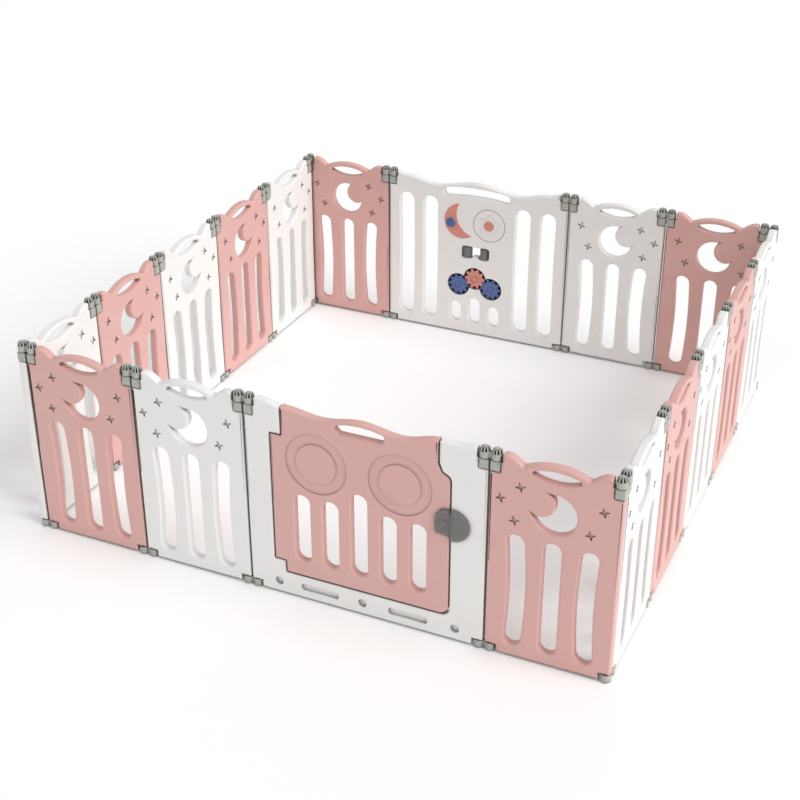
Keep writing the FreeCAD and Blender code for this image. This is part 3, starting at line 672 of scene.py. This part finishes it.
def standActivity():
    centre = middleOf("activity_panel")
    place = wallMatrix(centre, headings["activity"])
    # places of the toys as seen from inside, where x runs the other way
    flipped = {name: ((centre.x - middleOf(name).x) * 1000, middleOf(name).z * 1000)
               for name in ("left_gear", "middle_gear", "right_gear", "activity_dial", "slide_bead")}
    body = bodyOf["activity_panel"]
    local = {"gears": [flipped[name] for name in ("left_gear", "middle_gear", "right_gear")],
             "dial": flipped["activity_dial"]}
    mesh = inMaterial(moved(activityMesh(local), place), whitePolyethylene)
    stand("activity_panel_shell", mesh, body, ["activity_panel"])
    # dark plates on the gear pit floors: painted shade in the deep pits
    pitShadeDiscs = joined([(slab([circle(x, z, toys["pit"] - 0.3, 48)], -1.2 - 0.3 * i, -0.4 - 0.3 * i, 0.3, 1),
                      darkPolypropylene) for i, (x, z) in enumerate(local["gears"])])
    stand("gear_pit_floors", moved(pitShadeDiscs, place), body)
    # crescent plate that the bead slides on
    plate = slab([crescent(toys["plateX"], toys["plateZ"], toys["plateRadius"], toys["biteX"], toys["biteZ"],
                           toys["biteRadius"], 3)], 12, 15, 1.2, 2)
    stand("crescent_plate", moved(shaded(joined([(plate, salmonPolypropylene)])), place), body)
    standGear("middle_gear", salmonPolypropylene, 0)
    standGear("left_gear", bluePolypropylene, meshedPhase("left_gear", flipped))
    standGear("right_gear", bluePolypropylene, meshedPhase("right_gear", flipped))
    stand("dial_disc", moved(dialMesh(*flipped["activity_dial"]), place), bodyOf["activity_dial"],
          ["activity_dial"])
    bead = turned([(0, 6.5), (6, 6.5), (6, 15.3), (18, 15.3), (toys["bead"], 16), (toys["bead"] - 1, 17.4),
                   (14, 18.6), (0, 19)], 40)
    bead = shaded(joined([(towardInside(bead, *flipped["slide_bead"]), bluePolypropylene)]))
    stand("bead_button", moved(bead, place), bodyOf["slide_bead"], ["slide_bead"])
    for name in ("left_roller", "right_roller"):
        drum = shaded(joined([(rollerMesh(), slatePolypropylene)]))
        drum = moved(drum, Matrix.Translation(middleOf(name)))
        stand(name + "_drum", drum, bodyOf[name], [name])
    print("activity section and toys")


# tooth phase that meshes with the middle wheel's tooth at angle nought
def meshedPhase(name, flipped):
    (x, z), (middleX, middleZ) = flipped[name], flipped["middle_gear"]
    toward = math.degrees(math.atan2(z - middleZ, x - middleX))
    step = 360 / toys["teeth"]
    return toward + 180 - (-toward) % step + step / 2


standActivity()

# links that join neighbours, and the brackets that hold them
link = {"pitch": 34, "lobe": 15.4, "neck": 6.5, "footTop": 24.6, "topLow": 619.6, "topHigh": 639,
        "capHigh": 653.6, "ribs": 9, "ribThick": 3.2, "ribRing": 11.6, "pin": 5.8, "roll": 1.8}
bracket = {"end": 14.6, "deep": 13.8, "low": 588.3, "high": 618, "thick": 13.9, "screwIn": 7, "screwUp": 8}


def inputId(tree, name):
    return next(item.identifier for item in tree.interface.items_tree if item.name == name)


# copies at every point of a mesh; with a ring, a ring of copies at a radius, each turned to face outward
def copyTree(name, ring):
    tree = bpy.data.node_groups.new(name, "GeometryNodeTree")
    sockets = [("Places", "Geometry"), ("Copy", "Object"), ("Finish", "Material")]
    sockets += [("Count", "Int"), ("Radius", "Float")] if ring else []
    for title, kind in sockets:
        tree.interface.new_socket(title, in_out="INPUT", socket_type="NodeSocket" + kind)
    tree.interface.new_socket("Geometry", in_out="OUTPUT", socket_type="NodeSocketGeometry")
    inputs = addNode(tree, "NodeGroupInput").outputs
    source = addNode(tree, "GeometryNodeObjectInfo", [(inputs["Copy"], "Object")]).outputs["Geometry"]
    if ring:
        circlet = addNode(tree, "GeometryNodeMeshCircle", [(inputs["Count"], "Vertices"),
                                                           (inputs["Radius"], "Radius")])
        share = addNode(tree, "ShaderNodeMath", [(addNode(tree, "GeometryNodeInputIndex").outputs[0], 0),
                                                 (inputs["Count"], 1)], operation="DIVIDE")
        angle = addNode(tree, "ShaderNodeMath", [(share.outputs[0], 0)], operation="MULTIPLY")
        angle.inputs[1].default_value = 2 * math.pi
        spin = addNode(tree, "ShaderNodeCombineXYZ", [(angle.outputs[0], "Z")])
        source = addNode(tree, "GeometryNodeInstanceOnPoints",
                         [(circlet.outputs[0], "Points"), (source, "Instance"),
                          (spin.outputs[0], "Rotation")]).outputs[0]
    copies = addNode(tree, "GeometryNodeInstanceOnPoints",
                     [(inputs["Places"], "Points"), (source, "Instance")])
    real = addNode(tree, "GeometryNodeRealizeInstances", [(copies.outputs[0], "Geometry")])
    finish = addNode(tree, "GeometryNodeSetMaterial",
                     [(real.outputs[0], "Geometry"), (inputs["Finish"], "Material")])
    addNode(tree, "NodeGroupOutput", [(finish.outputs[0], "Geometry")])
    return tree


rowTree = copyTree("copiesAtPlaces", False)
ringTree = copyTree("ringsAtPlaces", True)


def copied(tree, places, copyMesh, material, **sizes):
    points = bpy.data.meshes.new("places")
    points.from_pydata([tuple(c / 1000 for c in place) for place in places], [], [])
    source = bpy.data.objects.new("copySource", copyMesh)
    bpy.context.collection.objects.link(source)
    holder = bpy.data.objects.new("holder", points)
    bpy.context.collection.objects.link(holder)
    modifier = holder.modifiers.new("copies", "NODES")
    modifier.node_group = tree
    for title, setting in dict(sizes, Copy=source, Finish=material).items():
        modifier[inputId(tree, title)] = setting
    mesh = evaluated(holder)
    holder.modifiers.remove(modifier)
    bpy.data.objects.remove(holder)
    bpy.data.objects.remove(source)
    return mesh


# upright prism from a plan outline
def prism(rings, low, high, roll):
    flat = slab(rings, -(high - low) / 2, (high - low) / 2, roll, 2)
    return moved(flat, Matrix.Translation((0, 0, (low + high) / 2000))
                 @ Matrix.Rotation(-math.pi / 2, 4, "X"))


# one blade of the cap, curving over towards the middle
def ribMesh():
    arch = [(-9, 0), (3.6, 0), (3.2, 5), (1.2, 9.5), (-2.5, 12.8), (-9, 14.2)]
    outline = rounded([(x, z, 1.5 if z > 0 else 0) for x, z in arch])
    return slab([outline], -link["ribThick"] / 2, link["ribThick"] / 2, 0.7, 1)


# two lobes and the waist between them, seen from above
def linkPlan():
    half = link["pitch"] / 2
    lean = math.degrees(math.asin(link["neck"] / link["lobe"]))
    right = arcPoints(half, 0, link["lobe"], -180 + lean, 180 - lean, 36)
    return right + [(-x, -y) for x, y in right]


def pinMesh(radius, low, high):
    return turned([(0, low), (radius, low), (radius, high), (0, high)], 20)


# top and foot link of one joint, with caps; pinned says which sides have pins
def linkMesh(pinned=(True, True)):
    half = link["pitch"] / 2
    plan = linkPlan()
    grey = greyPolypropylene
    parts = [(prism([plan], 0, link["footTop"], link["roll"]), grey),
             (prism([plan], link["topLow"], link["topHigh"], link["roll"]), grey)]
    base, cap = link["topHigh"], link["capHigh"]
    for x, pin in zip((-half, half), pinned):
        place = Matrix.Translation((x / 1000, 0, 0))
        core = turned([(0, base - 2), (13.2, base - 2), (12.6, base + 4), (9.5, base + 9),
                       (0, base + 11)], 28)
        crown = turned([(0, base + 6), (4.6, base + 6), (4.6, cap - 0.8), (3.4, cap), (0, cap)], 20)
        parts.append((moved(core, place), darkPolypropylene))
        parts.append((moved(crown, place), grey))
        if pin:
            for low, high in ((link["footTop"] - 2, 48), (596, link["topLow"] + 2)):
                parts.append((moved(pinMesh(link["pin"], low, high), place), grey))
    ribs = copied(ringTree, [(-half, 0, base), (half, 0, base)], ribMesh(), grey,
                  Count=link["ribs"], Radius=link["ribRing"] / 1000)
    parts.append((ribs, grey))
    return shaded(joined(parts), 42)


# rounded at its free lower corner, flush with the section's faces
def bracketMesh(half, sign):
    low, high, deep, end = (bracket[key] for key in ("low", "high", "deep", "end"))
    outline = [(sign * (half - deep), low, 6), (sign * (half + end), low, 3),
               (sign * (half + end), high, 3), (sign * (half - deep), high, 1.5)]
    outline = rounded(outline if sign > 0 else outline[::-1])
    return slab([outline], -bracket["thick"], bracket["thick"], 3.2, 2)


def screwMesh():
    return turned([(0, -2), (3.4, -2), (3.4, 0.2), (2.6, 0.9), (1.0, 0.9), (0.9, 0.3), (0, 0.3)], 16)


def bracketPair(half):
    parts = [(bracketMesh(half, sign), greyPolypropylene) for sign in (-1, 1)]
    for face in (-1, 1):
        screw = moved(screwMesh(), Matrix.Rotation(-face * math.pi / 2, 4, "X"))
        places = [(sign * (half - bracket["screwIn"]), face * (bracket["thick"] - 1),
                   bracket["low"] + bracket["screwUp"]) for sign in (-1, 1)]
        parts.append((copied(rowTree, places, screw, zincSteel), zincSteel))
    return shaded(joined(parts))


def standFittings():
    pair = linkMesh()
    small = bracketPair(narrow["half"])
    large = bracketPair(wide["half"])
    for name in bodyOf:
        for ending, mesh, title in (("_link_", pair, "_pair"), ("_brackets", small, "_set")):
            if ending in name:
                place = wallMatrix(middleOf(name), headings[name.split("_")[0]])
                stand(name + title, moved(mesh, place), bodyOf[name], [name])
    beyond = (wide["half"] + link["pitch"] / 2) / 1000
    place = wallMatrix(middleOf("gate_frame"), headings["gate"])
    body = bodyOf["gate_fittings"]
    stand("gate_brackets", moved(large, place), body, ["gate_fittings"])
    for title, shift in (("gate_link_left", -beyond), ("gate_link_right", beyond)):
        stand(title, moved(pair, place @ Matrix.Translation((shift, 0, 0))), body)
    hinge = place @ Matrix.Translation((gate["pinX"] / 1000, 0, 0))
    shafts = [(moved(pinMesh(gate["pinRadius"], low, high), hinge), zincSteel) for low, high in gate["pins"]]
    stand("gate_hinge_pins", joined(shafts), body)
    place = wallMatrix(middleOf("activity_panel"), headings["activity"])
    body = bodyOf["activity_fittings"]
    stand("activity_brackets", moved(large, place), body, ["activity_fittings"])
    # the joint where the ring is opened: no pins on the far side
    release = linkMesh((True, False))
    stand("release_link", moved(release, place @ Matrix.Translation((beyond, 0, 0))), body)
    print("links and brackets")


standFittings()

# camera turn in degrees; the sun is a wide, soft window light
view = {"place": (1.6886, -3.9545, 2.5532), "turn": (61.30, 0, 24.46), "lens": 64.76}
light = {"sky": 0.56, "sun": 2.0, "sunFrom": (1.0, -0.12, 0.85), "sunSpread": 40}
paper = {"code": "#FBFBFB", "glow": 0.07, "reach": 16}


def standCamera():
    camera = bpy.data.objects.new("camera", bpy.data.cameras.new("camera"))
    camera.data.lens = view["lens"]
    camera.data.sensor_width = 36
    camera.data.clip_end = 100
    camera.location = view["place"]
    camera.rotation_euler = [math.radians(angle) for angle in view["turn"]]
    bpy.context.collection.objects.link(camera)
    bpy.context.scene.camera = camera


def standStudio():
    world = bpy.data.worlds.new("studio")
    bpy.context.scene.world = world
    world.use_nodes = True
    background = world.node_tree.nodes["Background"]
    background.inputs["Color"].default_value = (1, 1, 1, 1)
    background.inputs["Strength"].default_value = light["sky"]
    lamp = bpy.data.lights.new("bigWindow", "SUN")
    lamp.energy = light["sun"]
    lamp.angle = math.radians(light["sunSpread"])
    holder = bpy.data.objects.new("bigWindow", lamp)
    holder.rotation_euler = (-Vector(light["sunFrom"])).to_track_quat("-Z", "Y").to_euler()
    bpy.context.collection.objects.link(holder)
    bpy.context.scene.view_settings.view_transform = "Standard"
    reach = paper["reach"]
    floor = bpy.data.meshes.new("floor")
    floor.from_pydata([(x * reach, y * reach, -0.0005) for x, y in ((-1, -1), (1, -1), (1, 1), (-1, 1))], [],
                      [(0, 1, 2, 3)])
    backdrop = bpy.data.materials.new("backdropPaper")
    backdrop.use_nodes = True
    shader = backdrop.node_tree.nodes["Principled BSDF"]
    shader.inputs["Base Color"].default_value = linear(paper["code"])
    shader.inputs["Roughness"].default_value = 0.95
    shader.inputs["Specular IOR Level"].default_value = 0.1
    shader.inputs["Emission Color"].default_value = (1, 1, 1, 1)
    shader.inputs["Emission Strength"].default_value = paper["glow"]
    floor.materials.append(backdrop)
    holder = bpy.data.objects.new("floor", floor)
    bpy.context.collection.objects.link(holder)
    print("studio")


standCamera()
standStudio()
